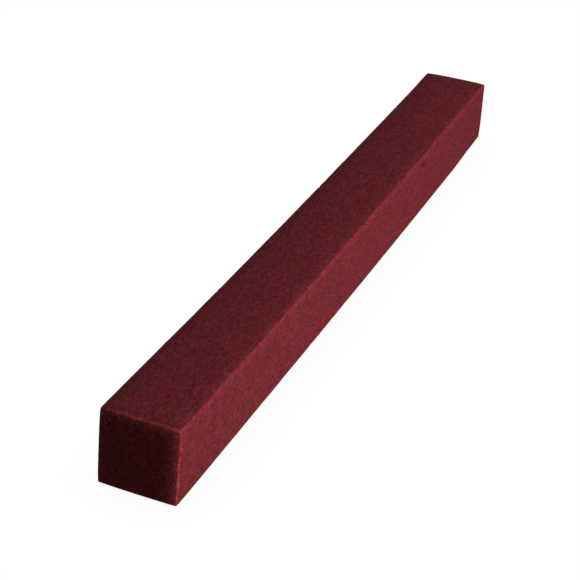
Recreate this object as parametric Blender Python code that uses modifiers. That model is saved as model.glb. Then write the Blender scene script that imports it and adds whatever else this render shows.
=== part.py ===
"""Square sanding stick: one moulded bar of bonded abrasive.

The bar is the same abrasive compound all the way through, so it is a single
solid: no core, no wrapped paper, no glued layers, no handle and no end caps.
Its arrises are softly rounded by the mould and by handling, and two small
moulding pores are open on its surface.

Metres, +Z up. The origin is the centre of the underside. +X runs along the
length, +Y across the width.
"""
import math

import bmesh
import bpy
from mathutils import Vector

# ---- driving dimensions (metres) -------------------------------------------
LENGTH = 0.1524            # 6 in stock length, along X
WIDTH = 0.0127             # 1/2 in square section, along Y
HEIGHT = 0.0127            # 1/2 in square section, along Z
ARRIS_RADIUS = 0.00045     # rounding on every edge and corner
ARRIS_SEGMENTS = 4

# Open pores. Each one is a squashed ball sunk into a face:
# the length is its long way across the face, the breadth its short way.
END_PORE_FROM_FRONT = 0.0112    # on the -X end, measured from the -Y face
END_PORE_BELOW_TOP = 0.0023
END_PORE_LENGTH = 0.00066
END_PORE_BREADTH = 0.00040
END_PORE_DEPTH = 0.00040

SIDE_PORE_ALONG = 0.1098        # on the -Y face, measured from the -X end
SIDE_PORE_BELOW_TOP = 0.0019
SIDE_PORE_LENGTH = 0.0019
SIDE_PORE_BREADTH = 0.00044
SIDE_PORE_DEPTH = 0.00040

# ---- material ---------------------------------------------------------------
BOND_RED_SRGB = (0.471, 0.165, 0.190)
BOND_ROUGHNESS = 0.72
BOND_METALLIC = 0.0

OBJECT_NAME = "sanding_stick"
NODE_NAME = "abrasive_stick"


def srgb_to_linear(channel):
    if channel <= 0.04045:
        return channel / 12.92
    return ((channel + 0.055) / 1.055) ** 2.4


def clear_scene():
    for obj in list(bpy.data.objects):
        bpy.data.objects.remove(obj, do_unlink=True)


def new_collection(name):
    collection = bpy.data.collections.new(name)
    bpy.context.scene.collection.children.link(collection)
    return collection


def principled(name, srgb, roughness, metallic):
    material = bpy.data.materials.new(name)
    material.use_nodes = True
    shader = material.node_tree.nodes["Principled BSDF"]
    colour = tuple(srgb_to_linear(c) for c in srgb) + (1.0,)
    shader.inputs["Base Color"].default_value = colour
    shader.inputs["Roughness"].default_value = roughness
    shader.inputs["Metallic"].default_value = metallic
    material.diffuse_color = colour
    return material


def box_object(name, size, collection):
    """A closed box of the given size, centred on its own origin."""
    mesh = bpy.data.meshes.new(name)
    bm = bmesh.new()
    bmesh.ops.create_cube(bm, size=1.0)
    bmesh.ops.scale(bm, vec=Vector(size), verts=bm.verts)
    bm.to_mesh(mesh)
    bm.free()
    obj = bpy.data.objects.new(name, mesh)
    collection.objects.link(obj)
    return obj


def ball_object(name, diameters, collection):
    """A closed ellipsoid with the given full diameters."""
    mesh = bpy.data.meshes.new(name)
    bm = bmesh.new()
    bmesh.ops.create_icosphere(bm, subdivisions=2, radius=0.5)
    bmesh.ops.scale(bm, vec=Vector(diameters), verts=bm.verts)
    bm.to_mesh(mesh)
    bm.free()
    obj = bpy.data.objects.new(name, mesh)
    collection.objects.link(obj)
    return obj


def hide_cutter(obj):
    obj.hide_render = True
    obj.display_type = 'WIRE'


def cut(obj, cutter, name):
    boolean = obj.modifiers.new(name, 'BOOLEAN')
    boolean.operation = 'DIFFERENCE'
    boolean.solver = 'EXACT'
    boolean.object = cutter


def main():
    clear_scene()
    parts = new_collection(OBJECT_NAME)
    cutters = new_collection(OBJECT_NAME + "_cutters")

    # The bar: a square prism resting on the XY plane.
    stick = box_object(NODE_NAME, (LENGTH, WIDTH, HEIGHT), parts)
    stick.location = (0.0, 0.0, HEIGHT / 2.0)
    stick.data.materials.append(
        principled("bonded_abrasive", BOND_RED_SRGB, BOND_ROUGHNESS, BOND_METALLIC))

    # Softly rounded arrises and corners.
    rounding = stick.modifiers.new("arris_rounding", 'BEVEL')
    rounding.width = ARRIS_RADIUS
    rounding.segments = ARRIS_SEGMENTS
    rounding.limit_method = 'NONE'
    rounding.profile = 0.5
    rounding.use_clamp_overlap = True
    rounding.harden_normals = False

    # Pore on the -X end, close to its upper corner away from the front face.
    end_pore = ball_object(
        "end_pore_cutter",
        (2.0 * END_PORE_DEPTH, END_PORE_LENGTH, END_PORE_BREADTH), cutters)
    end_pore.location = (-LENGTH / 2.0,
                         -WIDTH / 2.0 + END_PORE_FROM_FRONT,
                         HEIGHT - END_PORE_BELOW_TOP)
    end_pore.rotation_euler = (math.radians(-42.0), 0.0, 0.0)
    hide_cutter(end_pore)
    cut(stick, end_pore, "end_pore")

    # Pore on the front (-Y) face, just under its top arris.
    side_pore = ball_object(
        "side_pore_cutter",
        (SIDE_PORE_LENGTH, 2.0 * SIDE_PORE_DEPTH, SIDE_PORE_BREADTH), cutters)
    side_pore.location = (-LENGTH / 2.0 + SIDE_PORE_ALONG,
                          -WIDTH / 2.0,
                          HEIGHT - SIDE_PORE_BELOW_TOP)
    side_pore.rotation_euler = (0.0, math.radians(16.0), 0.0)
    hide_cutter(side_pore)
    cut(stick, side_pore, "side_pore")


main()
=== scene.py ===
"""Looks of the square bonded-abrasive sanding stick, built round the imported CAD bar.

One piece: a dense closed mesh of the bar, with worn arrises, tiny crumbled
nicks, open pores and grain relief, and a procedural bonded-grit material.
Lengths inside this script are in millimetres until the mesh is written.
"""
import math

import bmesh
import bpy
import numpy as np
from mathutils import Matrix, Vector


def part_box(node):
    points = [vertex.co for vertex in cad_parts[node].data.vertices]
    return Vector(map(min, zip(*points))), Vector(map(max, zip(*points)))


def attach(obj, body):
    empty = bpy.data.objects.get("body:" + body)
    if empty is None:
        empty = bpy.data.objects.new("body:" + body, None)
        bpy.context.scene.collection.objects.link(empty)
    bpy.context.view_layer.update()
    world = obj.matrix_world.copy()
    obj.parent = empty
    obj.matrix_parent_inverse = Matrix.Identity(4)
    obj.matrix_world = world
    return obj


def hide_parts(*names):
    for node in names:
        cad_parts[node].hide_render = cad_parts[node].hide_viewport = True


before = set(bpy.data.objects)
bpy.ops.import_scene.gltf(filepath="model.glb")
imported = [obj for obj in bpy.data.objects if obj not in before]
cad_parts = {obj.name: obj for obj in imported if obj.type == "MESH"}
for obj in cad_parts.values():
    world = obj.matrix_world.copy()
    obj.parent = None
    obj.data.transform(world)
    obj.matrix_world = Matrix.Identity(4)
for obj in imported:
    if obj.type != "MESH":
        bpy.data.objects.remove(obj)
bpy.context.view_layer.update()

MM = 0.001
NODE = "abrasive_stick"
low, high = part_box(NODE)
HALF = np.array((high - low)) / 2.0 / MM           # half length, width, height
CENTRE = np.array((high + low)) / 2.0 / MM

# ---- shape of the real bar ---------------------------------------------------
ARRIS_R = 0.34            # main rounding of the arrises
GRID = 0.350              # spacing of the mesh on the flats
BOW = 0.28                # sideways bow at mid-length, towards -Y
TWIST = 0.0363            # the bar is also twisted a little from end to end, in radians
NEAR_LEAN = 0.235         # its +Y face leans slightly at the near end,
NEAR_SQUARE = 0.100       # while its -Y face stays square there
FAR_LEAN = 0.950          # and the far end is cut a little out of square
SEED = 5171

# Wear makes each face fall away softly towards its arrises. For the face
# (axis, sign) and the neighbour face (axis, sign): depth at the arris, decay.
SHOULDER = (0.075, 0.70)
SHOULDERS = {
    ((0, -1), (1, -1)): (0.370, 0.62),
    ((0, -1), (2, 1)): (0.165, 0.95),
    ((0, -1), (2, -1)): (0.025, 0.50),
    ((0, -1), (1, 1)): (0.030, 0.50),
    ((2, -1), (0, -1)): (0.020, 0.50),
    ((1, 1), (0, -1)): (0.030, 0.50),
    ((1, -1), (2, -1)): (0.040, 0.60),
    ((2, -1), (1, -1)): (0.030, 0.50),
    ((2, -1), (1, 1)): (0.030, 0.50),
    ((0, 1), (1, -1)): (0.030, 0.50),
    ((0, 1), (1, 1)): (0.030, 0.50),
    ((0, 1), (2, 1)): (0.030, 0.50),
    ((0, 1), (2, -1)): (0.020, 0.50),
    ((1, -1), (0, 1)): (0.030, 0.50),
    ((2, 1), (0, 1)): (0.030, 0.50),
    ((2, -1), (0, 1)): (0.020, 0.50),
    ((2, 1), (1, 1)): (0.100, 2.20),
    ((2, 1), (1, -1)): (0.160, 2.00),
    ((1, -1), (2, 1)): (0.120, 0.80),
}
# How far the paler band, partly wear and partly painted highlight, reaches from an arris onto each face; it is widest
# at the arrises that face the key light.
WEAR_AND_HIGHLIGHT_REACH = 0.42
WEAR_AND_HIGHLIGHT_REACHES = {
    ((0, -1), (1, -1)): 2.70,
    ((0, -1), (2, 1)): 1.40,
    ((1, -1), (2, 1)): 1.25,
    ((2, 1), (1, -1)): 1.30,
}
# Each face is also very slightly crowned from side to side.
CROWN = {(2, 1): 0.110, (1, -1): 0.015, (1, 1): 0.030, (2, -1): 0.012, (0, -1): 0.055, (0, 1): 0.030}


# ---- seeded lattice noise ----------------------------------------------------
def lattice_hash(i, j, k, seed):
    """A repeatable value in [-1, 1) for each integer lattice point."""
    h = (i.astype(np.int64) * 73856093) ^ (j.astype(np.int64) * 19349663) \
        ^ (k.astype(np.int64) * 83492791) ^ np.int64(seed * 2654435)
    h = (h ^ (h >> 13)) * 1274126177
    h = (h ^ (h >> 16)) & 0x7FFFFFFF
    h = (h * 48271) % 0x7FFFFFFF
    return (h % 1000003) / 500001.5 - 1.0


def noise3(p, wavelength, seed):
    """Smooth value noise of rms about 0.35, with one lattice cell per wavelength."""
    q = p / wavelength
    base = np.floor(q)
    f = q - base
    u = f * f * f * (f * (f * 6.0 - 15.0) + 10.0)
    i, j, k = (base[:, n].astype(np.int64) for n in range(3))
    out = np.zeros(len(p))
    for a in (0, 1):
        wa = u[:, 0] if a else 1.0 - u[:, 0]
        for b in (0, 1):
            wb = u[:, 1] if b else 1.0 - u[:, 1]
            for c in (0, 1):
                wc = u[:, 2] if c else 1.0 - u[:, 2]
                out += wa * wb * wc * lattice_hash(i + a, j + b, k + c, seed)
    return out


# ---- the grid of the bar's hard box ------------------------------------------
def grid_lines(half):
    """Mesh lines along one axis: close together in the rounding, then even."""
    r = ARRIS_R
    edge = [r * (1.0 - math.tan(math.radians(a))) for a in (45.0, 36.0, 27.0, 18.0, 9.0, 0.0)]
    edge += [0.52, 0.66, 0.86, 1.12, 1.42]
    inner = half - edge[-1]
    count = max(2, int(round(2.0 * inner / GRID)))
    flat = np.linspace(-inner, inner, count + 1)
    ends = np.array([half - e for e in edge[:-1]])
    return np.concatenate((-ends, flat, ends[::-1]))


def box_grid():
    """Vertices and quads of the closed box surface on the three sets of lines."""
    lines = [grid_lines(h) for h in HALF]
    size = [len(l) for l in lines]
    ids, points, quads = {}, [], []

    def vertex(i, j, k):
        key = (i, j, k)
        if key not in ids:
            ids[key] = len(points)
            points.append((lines[0][i], lines[1][j], lines[2][k]))
        return ids[key]

    for axis in range(3):
        a, b = (axis + 1) % 3, (axis + 2) % 3
        for end in (0, size[axis] - 1):
            for m in range(size[a] - 1):
                for n in range(size[b] - 1):
                    corners = []
                    for dm, dn in ((0, 0), (1, 0), (1, 1), (0, 1)):
                        key = [0, 0, 0]
                        key[axis], key[a], key[b] = end, m + dm, n + dn
                        corners.append(vertex(*key))
                    if end == 0:
                        corners.reverse()
                    quads.append(corners)
    return np.array(points), quads


# ---- pores and nicks ----------------------------------------------------------
class Pit:
    """A squashed hollow: place on the hard box, face axis and sign, radii across, depth, how dark inside."""

    def __init__(self, place, axis, sign, radii, depth, turn, dark):
        self.place = np.array(place, float)
        self.axis, self.sign = axis, sign
        self.radii, self.depth = radii, depth
        self.turn, self.dark = math.radians(turn), dark

    def reach(self, p):
        """Distance from the middle in units of the pit's own outline."""
        a, b = [n for n in range(3) if n != self.axis]
        da, db = p[:, a] - self.place[a], p[:, b] - self.place[b]
        c, s = math.cos(self.turn), math.sin(self.turn)
        u, v = (c * da + s * db) / self.radii[0], (-s * da + c * db) / self.radii[1]
        far = np.abs(p[:, self.axis] - self.sign * HALF[self.axis]) > 0.35
        rho = np.sqrt(u * u + v * v)
        return np.where(far, 99.0, rho)


class Nick:
    """A crumbled spot on an arris: a ball-shaped bite of the given radius and depth."""

    def __init__(self, place, radius, depth):
        self.place, self.radius, self.depth = np.array(place, float), radius, depth

    def reach(self, p):
        return np.sqrt(((p - self.place) ** 2).sum(1)) / self.radius


def pits():
    hx, hy, hz = HALF
    found = [
        # the two clear pores that the CAD bar has too, in the same places
        Pit((-hx, -hy + 11.20, hz - 2.28), 0, -1, (0.35, 0.20), 0.42, -42.0, 1.0),
        Pit((-hx + 109.8, -hy, hz - 1.92), 1, -1, (0.98, 0.23), 0.42, -16.0, 1.0),
        # a fainter, shallower one on the near end
        Pit((-hx, -hy + 9.75, hz - 9.85), 0, -1, (0.26, 0.19), 0.07, 20.0, 0.55),
    ]
    rng = np.random.default_rng(SEED)
    # the hidden faces have a few of the same kind
    for axis, sign, count in ((1, 1, 3), (2, -1, 3), (0, 1, 2), (2, 1, 2), (1, -1, 2)):
        others = [n for n in range(3) if n != axis]
        for _ in range(count):
            place = np.zeros(3)
            place[axis] = sign * HALF[axis]
            for n in others:
                place[n] = rng.uniform(-1.0, 1.0) * (HALF[n] - 1.6)
            big = rng.uniform(0.12, 0.26) if (axis, sign) not in ((2, 1), (1, -1)) else rng.uniform(0.09, 0.13)
            found.append(Pit(place, axis, sign, (big, big * rng.uniform(0.6, 0.9)),
                             big * rng.uniform(0.7, 1.2), rng.uniform(0, 180), rng.uniform(0.4, 0.9)))
    return found


def nicks():
    rng = np.random.default_rng(SEED + 1)
    found = []
    for sy in (-1, 1):
        for sz in (-1, 1):
            for _ in range(7):
                place = (rng.uniform(-1, 1) * (HALF[0] - 1.5), sy * HALF[1], sz * HALF[2])
                found.append(Nick(place, rng.uniform(0.42, 0.62), rng.uniform(0.02, 0.06)))
    for axis in (1, 2):
        for s in (-1, 1):
            place = [HALF[0], 0.0, 0.0]
            place[axis] = s * HALF[axis]
            other = 3 - axis
            place[other] = rng.uniform(-1, 1) * (HALF[other] - 1.2)
            found.append(Nick(place, rng.uniform(0.40, 0.55), rng.uniform(0.02, 0.05)))
    return found


# ---- from the hard box to the worn bar ---------------------------------------
def shoulders(p):
    """Smooth inward shifts that round the shoulders and crown the faces; one smooth field for the whole bar, so it never creases."""
    shift = np.zeros_like(p)
    sides = [(axis, sign) for axis in range(3) for sign in (-1, 1)]
    # the long arrises are crisper at the far end
    far_fade = 1.0 - 0.75 * np.clip((p[:, 0] / HALF[0] - 0.86) / 0.14, 0.0, 1.0)
    # and the ends keep their lowest corners
    foot_fade = 1.0 - 0.80 * np.exp(-(p[:, 2] + HALF[2]) / 1.1)
    for axis, sign in sides:
        # full strength on the face itself, fading out inside the bar
        depth = HALF[axis] - sign * p[:, axis]
        full = np.exp(-(depth / 3.2) ** 2)
        total = np.zeros(len(p))
        for other, other_sign in sides:
            if other == axis:
                continue
            fall, decay = SHOULDERS.get(((axis, sign), (other, other_sign)), SHOULDER)
            distance = HALF[other] - other_sign * p[:, other]
            if axis != 0 and other != 0:
                fall = fall * far_fade
            elif axis == 0 and other == 1:
                fall = fall * foot_fade
            total += fall * np.exp(-distance / decay)
        across = 1 if axis != 1 else 2
        total += CROWN[(axis, sign)] * (p[:, across] / HALF[across]) ** 2
        shift[:, axis] -= sign * full * total
    return shift


def wear_and_highlight_distance(p):
    """Distance from the arrises, in units of how far the band of wear and painted highlight reaches: 0 on an arris
    and above 1 clear of it.
    """
    sides = [(axis, sign) for axis in range(3) for sign in (-1, 1)]
    out = np.full(len(p), 9.0)
    for face in sides:
        on_face = HALF[face[0]] - face[1] * p[:, face[0]] < 1e-4
        for other in sides:
            if other[0] == face[0]:
                continue
            distance = HALF[other[0]] - other[1] * p[:, other[0]]
            distance = distance / WEAR_AND_HIGHLIGHT_REACHES.get((face, other), WEAR_AND_HIGHLIGHT_REACH)
            out = np.where(on_face, np.minimum(out, distance), out)
    return out


def worn(p, pit_list, nick_list):
    """Moves points of the hard box to the worn surface. Returns the places and the values that the material reads."""
    deficit = np.sort(HALF - np.abs(p), axis=1)
    arris = deficit[:, 1]                     # in-plane distance to the nearest arris
    # the upper arrises and those of the -Y side are rounded most, the underside's least
    soft = np.clip(0.5 + 0.5 * p[:, 2] / HALF[2] - 0.45 * p[:, 1] / HALF[1], 0.0, 1.0)
    soft = soft * (1.0 - 0.55 * np.clip(p[:, 0] / HALF[0] * 5.0 - 4.0, 0.0, 1.0))
    radius = ARRIS_R * (0.50 + 0.50 * soft) * (1.0 + 0.14 * noise3(p, 5.0, 11) + 0.10 * noise3(p, 1.3, 12))
    inner = np.clip(p, -(HALF - radius[:, None]), HALF - radius[:, None])
    out = p - inner
    length = np.linalg.norm(out, axis=1)
    normal = out / np.maximum(length, 1e-9)[:, None]
    place = inner + normal * radius[:, None]

    # the rough surface of bonded grit
    relief = (0.022 * noise3(p, 14.0, 21) + 0.010 * noise3(p, 4.5, 22)
              + 0.0070 * noise3(p, 1.5, 23) + 0.0075 * noise3(p, 0.76, 24))
    edge_rough = np.exp(-(arris / 0.45) ** 2)
    relief += edge_rough * (0.009 * noise3(p, 0.95, 25) + 0.007 * noise3(p, 0.55, 26))
    place += normal * (relief - 0.012)[:, None]

    dark = np.zeros(len(p))
    for pit in pit_list:
        rho = pit.reach(p) * (1.0 + 0.30 * noise3(p, 0.30, 31))
        inside = rho < 1.35
        q = rho[inside]
        sink = pit.depth * np.clip(1.0 - q ** 2, 0.0, 1.0) ** 0.6
        place[inside, pit.axis] -= pit.sign * sink
        dark[inside] = np.maximum(dark[inside], pit.dark * np.clip(1.30 - q, 0.0, 0.35) / 0.35)
    for nick in nick_list:
        rho = nick.reach(p)
        inside = rho < 1.0
        bite = nick.depth * (1.0 - rho[inside] ** 2) ** 1.5
        place[inside] -= normal[inside] * bite[:, None]

    place += shoulders(p)
    # the lower -Y arris is worn away a little towards the far end
    toe = np.clip((p[:, 0] / HALF[0] - 0.72) / 0.28, 0.0, 1.0)
    toe = 0.34 * toe * toe * (3.0 - 2.0 * toe)
    low_arris = np.hypot(p[:, 1] + HALF[1], p[:, 2] + HALF[2])
    toe *= np.exp(-(low_arris / 2.6) ** 2)
    place[:, 1] += 0.40 * toe
    place[:, 2] += 0.95 * toe
    # the whole bar bows a little sideways; its ends go the other way by half of it
    along = p[:, 0] / HALF[0]
    place[:, 1] += BOW * (along ** 2 - 0.5)
    # and is twisted; it is raised by what its lowest corners would sink
    turn = TWIST * along / 2.0
    y, z = place[:, 1].copy(), place[:, 2].copy()
    near = np.exp(-((place[:, 0] + HALF[0]) / 25.0) ** 2)
    plus, minus = np.clip(y / HALF[1], 0.0, 1.0), np.clip(-y / HALF[1], 0.0, 1.0)
    place[:, 1] = y + turn * z + near * z / HALF[2] * (NEAR_LEAN * plus + NEAR_SQUARE * minus)
    place[:, 2] = z - turn * y + abs(TWIST) / 2.0 * HALF[1]
    place[:, 2] += NEAR_SQUARE * near * minus * np.clip(z / HALF[2], 0.0, 1.0)
    far_end = np.clip(4.0 * along - 3.0, 0.0, 1.0)
    place[:, 0] += FAR_LEAN * 0.5 * (1.0 - z / HALF[2]) * far_end
    place += CENTRE

    # the paler arris band, partly wear and partly painted highlight, is pink on the long sides, browner on the top
    # and brown on the ends
    to_end = HALF[0] - np.abs(p[:, 0])
    brown = 0.35 * np.clip(np.abs(normal[:, 2]), 0, 1) ** 2 + np.clip(1.6 * np.abs(normal[:, 0]) - 0.6, 0, 1)
    brown = np.maximum(brown, np.clip(normal[:, 2], 0, 1) ** 2 * np.exp(-(to_end / 1.2) ** 2))
    brown = np.clip(brown, 0.0, 1.0)
    more_near_ends = 0.50 + 0.50 * np.exp(-(to_end / 1.6) ** 2)
    # painted shade: the top is darkened a little towards its +Y arris, the side turned away from the key light
    top_away_shade = np.exp(-((HALF[1] - p[:, 1]) / 2.9) ** 2) * np.exp(-((HALF[2] - p[:, 2]) / 1.5) ** 2)
    # painted sheen: what faces up is made a little paler, greener and bluer, for the bright room reflected on it
    up_facing_sheen = np.clip(1.5 * normal[:, 2] - 0.5, 0.0, 1.0)
    return place, {"wear_and_highlight_distance": wear_and_highlight_distance(p), "arris_distance": arris, "pore": dark, "brown_wear_and_highlight": brown,
                   "wear_and_highlight_amount": more_near_ends, "top_away_shade": top_away_shade, "up_facing_sheen": up_facing_sheen}


def refine(bm, sites, cuts):
    """Cuts the quads near each site into finer ones."""
    bm.faces.ensure_lookup_table()
    centres = np.array([f.calc_center_median() for f in bm.faces])
    chosen = set()
    for place, reach in sites:
        near = np.nonzero((np.abs(centres - place) < reach).all(1))[0]
        chosen.update(int(n) for n in near)
    edges = {e for n in chosen for e in bm.faces[n].edges}
    bmesh.ops.subdivide_edges(bm, edges=list(edges), cuts=cuts, use_grid_fill=True)
    ngons = [f for f in bm.faces if len(f.verts) > 4]
    bmesh.ops.triangulate(bm, faces=ngons, quad_method='BEAUTY', ngon_method='BEAUTY')


def unfold(points, faces, axes_of):
    """Texture coordinates: each long side is cut into three strips, and strips and ends are laid in rows."""
    hx, hy, hz = HALF
    third, gap = 2.0 * hx / 3.0, 0.9
    wide = 2.0 * hy + 0.2
    column = third + gap
    row = wide + gap
    side = max(2 * column, 6 * row + row) + gap
    out = []
    for face, (axis, sign) in zip(faces, axes_of):
        p = points[list(face)]
        if axis == 0:
            number = 12 + (1 if sign > 0 else 0)
            u = p[:, 1] + hy
            v = p[:, 2] + hz
            ox, oy = gap + (0 if number == 12 else 2.0 * hy + 2 * gap), gap + 6 * row
        else:
            strip = {(1, -1): 0, (1, 1): 1, (2, 1): 2, (2, -1): 3}[(axis, sign)]
            middle = p[:, 0].mean() + hx
            part = min(2, int(middle / third))
            number = strip * 3 + part
            u = p[:, 0] + hx - part * third
            v = p[:, 3 - axis] + (hz if axis == 1 else hy)
            ox, oy = gap + (number % 2) * column, gap + (number // 2) * row
        out.append(np.stack(((ox + u) / side, (oy + v) / side), 1))
    return out


def stick_object(material):
    points, quads = box_grid()
    mesh = bpy.data.meshes.new("stick_surface")
    mesh.from_pydata([tuple(p) for p in points], [], quads)
    pit_list, nick_list = pits(), nicks()
    bm = bmesh.new()
    bm.from_mesh(mesh)
    refine(bm, [(nick.place, nick.radius + 0.10) for nick in nick_list], 1)
    refine(bm, [(pit.place, max(pit.radii) * 1.35 + 0.12) for pit in pit_list], 3)
    bm.to_mesh(mesh)
    bm.free()

    hard = np.zeros(len(mesh.vertices) * 3)
    mesh.vertices.foreach_get("co", hard)
    hard = hard.reshape(-1, 3)
    faces = [tuple(f.vertices) for f in mesh.polygons]
    axes_of = []
    for face in faces:
        middle = hard[list(face)].mean(0)
        axis = int(np.argmin(HALF - np.abs(middle)))
        axes_of.append((axis, 1 if middle[axis] > 0 else -1))

    place, values_by_name = worn(hard, pit_list, nick_list)
    mesh.vertices.foreach_set("co", (place * MM).astype(np.float32).ravel())
    for name, values in values_by_name.items():
        layer = mesh.attributes.new(name, 'FLOAT', 'POINT')
        layer.data.foreach_set("value", values.astype(np.float32))

    layout = mesh.uv_layers.new(name="OFBake")
    flat = np.concatenate(unfold(hard, faces, axes_of)).astype(np.float32)
    layout.data.foreach_set("uv", flat.ravel())

    mesh.shade_smooth()
    mesh.materials.append(material)
    mesh.update()
    mesh.validate()
    obj = bpy.data.objects.new("stick_body", mesh)
    bpy.context.scene.collection.objects.link(obj)
    return obj


# ---- material -----------------------------------------------------------------
BOND = (0.182, 0.0212, 0.0272)      # mean colour of the compound
GRAIN_SHADE, CLUMP_SHADE, PATCH_SHADE = 0.54, 0.36, 0.50
GRAIN_TINT, CLUMP_TINT = 1.00, 0.80
WEAR_AND_HIGHLIGHT_PINK = (1.50, 1.04, 1.54, 1.0)
WEAR_AND_HIGHLIGHT_BROWN = (1.90, 2.42, 2.02, 1.0)
LINE_PINK = (0.98, 0.80, 1.12, 1.0)
LINE_BROWN = (1.40, 1.45, 1.25, 1.0)


class Nodes:
    """Small helper for building a node tree."""

    def __init__(self, material):
        material.use_nodes = True
        self.tree = material.node_tree
        self.tree.nodes.clear()

    def add(self, kind, **values):
        node = self.tree.nodes.new(kind)
        for key, value in values.items():
            setattr(node, key, value)
        return node

    def link(self, a, b):
        self.tree.links.new(a, b)

    def feed(self, socket, value):
        if isinstance(value, bpy.types.NodeSocket):
            self.link(value, socket)
        else:
            socket.default_value = value

    def math(self, operation, a, b=0.0, c=0.0, clamp=False):
        node = self.add("ShaderNodeMath", operation=operation, use_clamp=clamp)
        for socket, value in zip(node.inputs, (a, b, c)):
            self.feed(socket, value)
        return node.outputs[0]

    def ramp(self, value, stops, interpolation='LINEAR'):
        node = self.add("ShaderNodeValToRGB")
        ramp = node.color_ramp
        ramp.interpolation = interpolation
        while len(ramp.elements) > 1:
            ramp.elements.remove(ramp.elements[-1])
        ramp.elements[0].position = stops[0][0]
        ramp.elements[0].color = (*stops[0][1], 1.0)
        for at, colour in stops[1:]:
            element = ramp.elements.new(at)
            element.color = (*colour, 1.0)
        self.feed(node.inputs["Fac"], value)
        return node.outputs["Color"]

    def mix(self, factor, a, b, blend='MIX'):
        node = self.add("ShaderNodeMix", data_type='RGBA', blend_type=blend)
        node.clamp_factor = True
        self.feed(node.inputs["Factor"], factor)
        self.feed(node.inputs[6], a)
        self.feed(node.inputs[7], b)
        return node.outputs[2]

    def map_range(self, value, a, b, c, d, smooth=False):
        node = self.add("ShaderNodeMapRange")
        node.interpolation_type = 'SMOOTHSTEP' if smooth else 'LINEAR'
        for name, v in (("Value", value), ("From Min", a), ("From Max", b), ("To Min", c), ("To Max", d)):
            self.feed(node.inputs[name], v)
        return node.outputs[0]

    def noise(self, coords, scale, detail, rough=0.5):
        node = self.add("ShaderNodeTexNoise", noise_dimensions='3D')
        self.link(coords, node.inputs["Vector"])
        node.inputs["Scale"].default_value = scale
        node.inputs["Detail"].default_value = detail
        node.inputs["Roughness"].default_value = rough
        return node.outputs[0]

    def cells(self, coords, scale, feature='F1', randomness=1.0):
        node = self.add("ShaderNodeTexVoronoi", voronoi_dimensions='3D', feature=feature)
        self.link(coords, node.inputs["Vector"])
        node.inputs["Scale"].default_value = scale
        node.inputs["Randomness"].default_value = randomness
        return node

    def drawn(self, coords, along):
        node = self.add("ShaderNodeVectorMath", operation='MULTIPLY')
        self.link(coords, node.inputs[0])
        node.inputs[1].default_value = (along, 1.0, 1.0)
        return node.outputs[0]

    def channel(self, colour, index):
        node = self.add("ShaderNodeSeparateColor")
        self.link(colour, node.inputs[0])
        return node.outputs[index]


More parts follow.
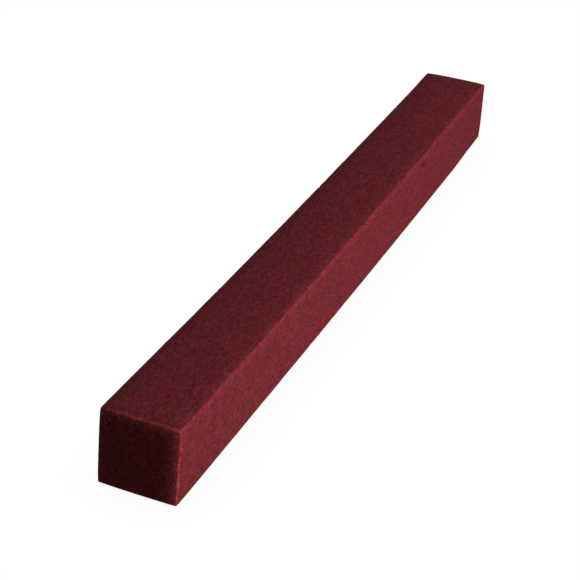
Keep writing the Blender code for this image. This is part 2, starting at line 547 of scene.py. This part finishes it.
def abrasive_material():
    material = bpy.data.materials.new("bonded_abrasive_grit")
    n = Nodes(material)
    out = n.add("ShaderNodeOutputMaterial")
    shader = n.add("ShaderNodeBsdfPrincipled")
    n.link(shader.outputs["BSDF"], out.inputs["Surface"])

    coords = n.add("ShaderNodeTexCoord").outputs["Object"]
    to_mm = n.add("ShaderNodeVectorMath", operation='SCALE')
    n.link(coords, to_mm.inputs[0])
    to_mm.inputs["Scale"].default_value = 1000.0
    p = to_mm.outputs[0]

    # Each grain of grit is a cell with its own shade and tint, and so is each small clump of grains.
    # The compound was squeezed out lengthwise, which has drawn them out along X.
    grain = n.cells(n.drawn(p, 0.70), 5.9)
    flow = n.drawn(p, 0.50)
    clump = n.cells(flow, 2.6)
    patch = n.add("ShaderNodeTexNoise", noise_dimensions='3D')
    n.link(flow, patch.inputs["Vector"])
    patch.inputs["Scale"].default_value = 1.10
    patch.inputs["Detail"].default_value = 2.0
    patch.inputs["Roughness"].default_value = 0.55
    glint = n.channel(grain.outputs["Color"], 2)
    tint = n.channel(grain.outputs["Color"], 1)
    shade = n.math('ADD', n.math('MULTIPLY', n.channel(grain.outputs["Color"], 0), GRAIN_SHADE),
                   n.math('MULTIPLY', n.channel(clump.outputs["Color"], 0), CLUMP_SHADE))
    shade = n.math('ADD', shade, n.math('MULTIPLY', n.channel(patch.outputs["Color"], 0), PATCH_SHADE))
    shade = n.math('ADD', shade, 1.0 - (GRAIN_SHADE + CLUMP_SHADE + PATCH_SHADE) / 2.0)
    green = n.math('ADD', n.math('MULTIPLY', n.channel(grain.outputs["Color"], 1), GRAIN_TINT),
                   n.math('MULTIPLY', n.channel(clump.outputs["Color"], 1), CLUMP_TINT))
    green = n.math('ADD', green, 1.0 - (GRAIN_TINT + CLUMP_TINT) / 2.0)
    blue = n.math('ADD', n.math('MULTIPLY', glint, GRAIN_TINT * 0.45),
                  n.math('MULTIPLY', n.channel(clump.outputs["Color"], 2), CLUMP_TINT * 0.45))
    blue = n.math('ADD', blue, n.math('MULTIPLY', green, 0.45))
    blue = n.math('ADD', blue, 0.55 - 0.45 * (GRAIN_TINT + CLUMP_TINT) / 2.0)
    # Broad, faint clouding from mixing and moulding.
    cloud = n.map_range(n.noise(p, 0.22, 3.0, 0.6), 0.3, 0.7, 0.95, 1.05)
    shade = n.math('MULTIPLY', shade, cloud)
    tone = n.add("ShaderNodeCombineColor")
    n.link(n.math('MULTIPLY', shade, BOND[0]), tone.inputs[0])
    n.link(n.math('MULTIPLY', n.math('MULTIPLY', n.math('POWER', shade, 0.55), green), BOND[1]), tone.inputs[1])
    n.link(n.math('MULTIPLY', n.math('MULTIPLY', shade, blue), BOND[2]), tone.inputs[2])
    colour = tone.outputs[0]

    # Brighter grains here and there, and sparse bright ones.
    fleck = n.cells(p, 2.05)
    fleck_size = n.map_range(n.channel(fleck.outputs["Color"], 1), 0.78, 1.0, 0.06, 0.36)
    fleck_mask = n.math('SUBTRACT', fleck_size, fleck.outputs["Distance"])
    fleck_mask = n.map_range(fleck_mask, 0.0, 0.06, 0.0, 1.0)
    fleck_mask = n.math('MULTIPLY', fleck_mask, n.math('GREATER_THAN', n.channel(fleck.outputs["Color"], 1), 0.78))
    colour = n.mix(n.math('MULTIPLY', fleck_mask, 0.80), colour, (0.37, 0.046, 0.074, 1.0))
    dull = n.channel(fleck.outputs["Color"], 2)
    dull_mask = n.math('SUBTRACT', n.map_range(dull, 0.80, 1.0, 0.06, 0.34), fleck.outputs["Distance"])
    dull_mask = n.math('MULTIPLY', n.map_range(dull_mask, 0.0, 0.06, 0.0, 1.0), n.math('GREATER_THAN', dull, 0.80))
    colour = n.mix(n.math('MULTIPLY', dull_mask, 0.60), colour, (0.060, 0.014, 0.013, 1.0))
    spark = n.cells(p, 1.15)
    spark_pick = n.channel(spark.outputs["Color"], 0)
    spark_size = n.map_range(spark_pick, 0.76, 1.0, 0.0, 0.20)
    spark_mask = n.math('SUBTRACT', spark_size, spark.outputs["Distance"])
    spark_mask = n.map_range(spark_mask, 0.0, 0.05, 0.0, 1.0)
    colour = n.mix(n.math('MULTIPLY', spark_mask, 0.80), colour, (0.66, 0.080, 0.135, 1.0))
    # Sparse pinholes, painted dark as the shade inside them.
    hole = n.cells(p, 0.82)
    hole_pick = n.channel(hole.outputs["Color"], 1)
    hole_size = n.map_range(hole_pick, 0.80, 1.0, 0.0, 0.12)
    hole_mask = n.math('SUBTRACT', hole_size, hole.outputs["Distance"])
    hole_mask = n.map_range(hole_mask, 0.0, 0.04, 0.0, 1.0)
    colour = n.mix(n.math('MULTIPLY', hole_mask, 0.8), colour, (0.035, 0.008, 0.008, 1.0))

    # Arrises are painted a little lighter and pinker in an uneven band, partly wear and partly a painted highlight,
    # widest at the arrises that face the key light.
    distance = n.add("ShaderNodeAttribute", attribute_name="wear_and_highlight_distance").outputs["Fac"]
    uneven = n.map_range(n.noise(p, 1.1, 3.0, 0.6), 0.3, 0.7, -0.26, 0.26)
    wear_and_highlight = n.map_range(n.math('ADD', distance, uneven), 1.20, 0.0, 0.0, 1.0, smooth=True)
    brown = n.add("ShaderNodeAttribute", attribute_name="brown_wear_and_highlight").outputs["Fac"]
    amount = n.add("ShaderNodeAttribute", attribute_name="wear_and_highlight_amount").outputs["Fac"]
    wear_and_highlight = n.math('MULTIPLY', wear_and_highlight, amount)
    gain = n.mix(brown, WEAR_AND_HIGHLIGHT_PINK, WEAR_AND_HIGHLIGHT_BROWN)
    pale = n.add("ShaderNodeVectorMath", operation='MULTIPLY')
    n.link(colour, pale.inputs[0])
    n.link(gain, pale.inputs[1])
    colour = n.mix(wear_and_highlight, colour, pale.outputs[0])

    # The arris itself shows as a thin, broken paler line, partly edge wear and partly painted highlight.
    arris = n.add("ShaderNodeAttribute", attribute_name="arris_distance").outputs["Fac"]
    broken = n.map_range(n.noise(p, 1.7, 3.0, 0.65), 0.32, 0.68, -0.20, 0.22)
    line = n.map_range(n.math('ADD', arris, broken), 0.36, 0.0, 0.0, 1.0, smooth=True)
    line = n.math('MULTIPLY', line, n.map_range(amount, 0.5, 1.0, 0.35, 1.0))
    thin = n.add("ShaderNodeVectorMath", operation='MULTIPLY')
    n.link(colour, thin.inputs[0])
    n.link(n.mix(brown, LINE_PINK, LINE_BROWN), thin.inputs[1])
    colour = n.mix(line, colour, thin.outputs[0])

    # Painted shade darkens the top towards its +Y arris, unevenly.
    top_away_shade = n.add("ShaderNodeAttribute", attribute_name="top_away_shade").outputs["Fac"]
    top_away_shade = n.math('MULTIPLY', top_away_shade, n.map_range(n.noise(p, 0.5, 2.0, 0.5), 0.3, 0.7, 0.75, 1.25))
    dim = n.add("ShaderNodeVectorMath", operation='SCALE')
    n.link(colour, dim.inputs[0])
    n.link(n.math('SUBTRACT', 1.0, n.math('MULTIPLY', top_away_shade, 0.20)), dim.inputs["Scale"])
    colour = dim.outputs[0]

    # Painted sheen on what faces up: paler, greener and bluer.
    up_facing_sheen = n.add("ShaderNodeAttribute", attribute_name="up_facing_sheen").outputs["Fac"]
    sheen_tint = n.add("ShaderNodeVectorMath", operation='MULTIPLY')
    n.link(colour, sheen_tint.inputs[0])
    sheen_tint.inputs[1].default_value = (1.03, 1.17, 1.12)
    colour = n.mix(up_facing_sheen, colour, sheen_tint.outputs[0])

    # Pores are dark with swarf and shadow.
    pore = n.add("ShaderNodeAttribute", attribute_name="pore").outputs["Fac"]
    colour = n.mix(n.math('MULTIPLY', pore, 0.92, clamp=True), colour, (0.012, 0.004, 0.004, 1.0))
    n.link(colour, shader.inputs["Base Color"])

    # Matt bond, with a few grain facets that are smoother.
    rough = n.map_range(glint, 0.0, 1.0, 0.86, 0.66)
    rough = n.math('SUBTRACT', rough, n.math('MULTIPLY', n.math('GREATER_THAN', glint, 0.95), 0.12))
    rough = n.math('SUBTRACT', rough, n.math('MULTIPLY', spark_mask, 0.15))
    n.link(rough, shader.inputs["Roughness"])
    shader.inputs["Specular IOR Level"].default_value = 0.22
    shader.inputs["Metallic"].default_value = 0.0

    # Fine relief: each grain stands a little proud, over a finer roughness.
    crest = n.math('SUBTRACT', 1.0, n.math('MULTIPLY', grain.outputs["Distance"], 1.25))
    level = n.math('MULTIPLY', tint, 0.55)
    fine = n.noise(p, 9.0, 3.0, 0.6)
    height = n.math('ADD', n.math('MULTIPLY', crest, 0.55), level)
    height = n.math('ADD', height, n.math('MULTIPLY', fine, 0.6))
    height = n.math('SUBTRACT', height, n.math('MULTIPLY', hole_mask, 2.5))
    height = n.math('ADD', height, n.math('MULTIPLY', spark_mask, 1.0))
    bump = n.add("ShaderNodeBump")
    bump.inputs["Strength"].default_value = 1.0
    bump.inputs["Distance"].default_value = 0.0000100
    n.link(height, bump.inputs["Height"])
    n.link(bump.outputs["Normal"], shader.inputs["Normal"])
    return material


# ---- floor, backdrop, lights, camera -------------------------------------------
def emission_mix(name, diffuse, glow):
    """A matt surface that also glows a little, for an evenly white set."""
    material = bpy.data.materials.new(name)
    n = Nodes(material)
    out = n.add("ShaderNodeOutputMaterial")
    shade = n.add("ShaderNodeBsdfDiffuse")
    shade.inputs["Color"].default_value = (diffuse, diffuse, diffuse, 1.0)
    light = n.add("ShaderNodeEmission")
    light.inputs["Color"].default_value = (1.0, 1.0, 1.0, 1.0)
    light.inputs["Strength"].default_value = glow
    add = n.add("ShaderNodeAddShader")
    n.link(shade.outputs[0], add.inputs[0])
    n.link(light.outputs[0], add.inputs[1])
    n.link(add.outputs[0], out.inputs["Surface"])
    return material


def only_for_camera(obj):
    """The set is bright but throws no light of its own on the stick."""
    obj.visible_diffuse = False
    obj.visible_glossy = False
    obj.visible_transmission = False
    obj.visible_volume_scatter = False
    obj.visible_shadow = False


def make_set():
    floor_mesh = bpy.data.meshes.new("floor")
    bm = bmesh.new()
    bmesh.ops.create_circle(bm, cap_ends=True, segments=96, radius=2.6)
    bm.to_mesh(floor_mesh)
    bm.free()
    floor = bpy.data.objects.new("floor", floor_mesh)
    floor.location = (0.0, 0.0, -0.00004)
    floor_mesh.materials.append(emission_mix("pale_floor", 0.09, 0.925))
    bpy.context.scene.collection.objects.link(floor)
    only_for_camera(floor)

    dome_mesh = bpy.data.meshes.new("backdrop")
    bm = bmesh.new()
    bmesh.ops.create_uvsphere(bm, u_segments=64, v_segments=32, radius=2.6)
    bm.to_mesh(dome_mesh)
    bm.free()
    dome_mesh.shade_smooth()
    dome = bpy.data.objects.new("backdrop", dome_mesh)
    dome_mesh.materials.append(emission_mix("pale_backdrop", 0.0, 1.0))
    bpy.context.scene.collection.objects.link(dome)
    only_for_camera(dome)
    return floor


def area_light(name, place, target, width, height, power, receivers=None, colour=(1.0, 1.0, 1.0)):
    data = bpy.data.lights.new(name, 'AREA')
    data.shape = 'RECTANGLE'
    data.size, data.size_y = width, height
    data.energy = power
    data.color = colour
    obj = bpy.data.objects.new(name, data)
    place, target = Vector(place), Vector(target)
    obj.location = place
    obj.rotation_mode = 'QUATERNION'
    obj.rotation_quaternion = (place - target).to_track_quat('Z', 'Y')
    bpy.context.scene.collection.objects.link(obj)
    if receivers is not None:
        obj.light_linking.receiver_collection = receivers
    return obj


def make_lights(stick, floor):
    for_stick = bpy.data.collections.new("lit_stick")
    for_stick.objects.link(stick)
    for_floor = bpy.data.collections.new("lit_floor")
    for_floor.objects.link(floor)
    aim = (0.0, 0.0, 0.006)
    # Key: a soft box beyond the -Y side, low over the table, a little warm.
    area_light("key_softbox", (-0.045, -0.385, 0.160), aim, 0.30, 0.15, 1.83, for_stick, (1.0, 0.845, 0.880))
    # A small one low at the far end lifts the far top and the far end face.
    far_fill = area_light("far_fill", (0.26, 0.11, 0.088), aim, 0.10, 0.06, 0.22, for_stick)
    far_fill.visible_glossy = False
    # A weak low one on the far side, for the face turned away.
    area_light("back_fill", (0.0, 0.85, 0.06), aim, 0.70, 0.10, 1.4, for_stick)
    # The floor has its own overhead light, so that the contact shadow is soft.
    area_light("floor_overhead", (0.0, 0.0, 1.3), (0.0, 0.0, 0.0), 1.6, 1.6, 22.0, for_floor)
    world = bpy.data.worlds.new("dim_room")
    world.use_nodes = True
    background = world.node_tree.nodes["Background"]
    background.inputs["Color"].default_value = (1.02, 1.17, 1.15, 1.0)
    background.inputs["Strength"].default_value = 0.0412
    bpy.context.scene.world = world


CAMERA_LENS = 112.385                                  # on a 36 mm wide sensor
CAMERA_PLACE = (-270.922, -85.671, 147.078)
CAMERA_FORWARD = (0.837603, 0.283890, -0.466720)
CAMERA_ROLL = 5.7559                                  # degrees


def make_camera():
    data = bpy.data.cameras.new("camera")
    data.sensor_fit = 'HORIZONTAL'
    data.sensor_width = 36.0
    data.lens = CAMERA_LENS
    data.clip_start, data.clip_end = 0.01, 20.0
    data.dof.use_dof = False
    obj = bpy.data.objects.new("camera", data)
    forward = Vector(CAMERA_FORWARD).normalized()
    level_right = forward.cross(Vector((0, 0, 1))).normalized()
    up = level_right.cross(forward)
    roll = math.radians(CAMERA_ROLL)
    right = level_right * math.cos(roll) + up * math.sin(roll)
    up = right.cross(forward)
    turn = Matrix((right, up, -forward)).transposed()
    obj.rotation_mode = 'QUATERNION'
    obj.rotation_quaternion = turn.to_quaternion()
    obj.location = Vector(CAMERA_PLACE) * MM
    bpy.context.scene.collection.objects.link(obj)
    bpy.context.scene.camera = obj


def main():
    scene = bpy.context.scene
    scene.view_settings.view_transform = 'Standard'
    scene.view_settings.look = 'None'
    scene.view_settings.exposure = 0.0
    scene.view_settings.gamma = 1.0

    stick = stick_object(abrasive_material())
    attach(stick, "root")
    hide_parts(NODE)
    floor = make_set()
    make_lights(stick, floor)
    make_camera()


main()
